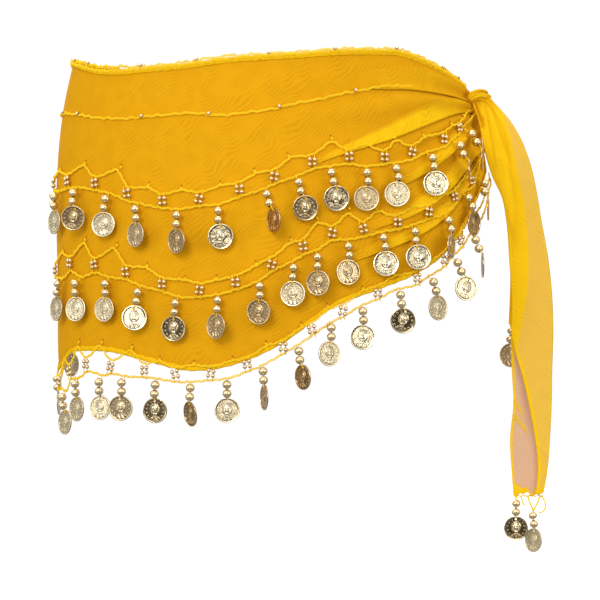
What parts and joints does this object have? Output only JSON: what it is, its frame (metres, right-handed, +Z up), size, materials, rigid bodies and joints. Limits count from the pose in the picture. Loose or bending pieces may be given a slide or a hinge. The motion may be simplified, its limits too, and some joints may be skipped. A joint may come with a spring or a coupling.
{
  "type": "belly dance hip scarf",
  "caption": "Sheer scarf worn round the hips and tied at one side, with crocheted rows of beads and hanging coins and two loose tails.",
  "frame": {"origin": "middle of the hip ring, where the wearer's hips hold it, at the height of the knot", "axes": "+Z up, -Y to the front, +X to the side with the knot"},
  "size_m": [0.4041, 0.285, 0.3973],
  "materials": {
    "chiffon": "sheer, soft sheen",
    "crochet": "matt thread",
    "coins": "pale gold, polished"
  },
  "bodies": {
    "root": {"front_cloth": "chiffon", "back_cloth": "chiffon", "knot": "chiffon", "long_tail": "chiffon", "short_tail": "chiffon", "front_edging": "crochet", "back_edging": "crochet", "front_waist_chain": "crochet", "back_waist_chain": "crochet", "front_upper_coins": "coins", "front_middle_coins": "coins", "front_hem_coins": "coins", "back_upper_coins": "coins", "back_middle_coins": "coins", "back_hem_coins": "coins", "long_tail_coins": "coins", "short_tail_coins": "coins"}
  },
  "joints": []
}
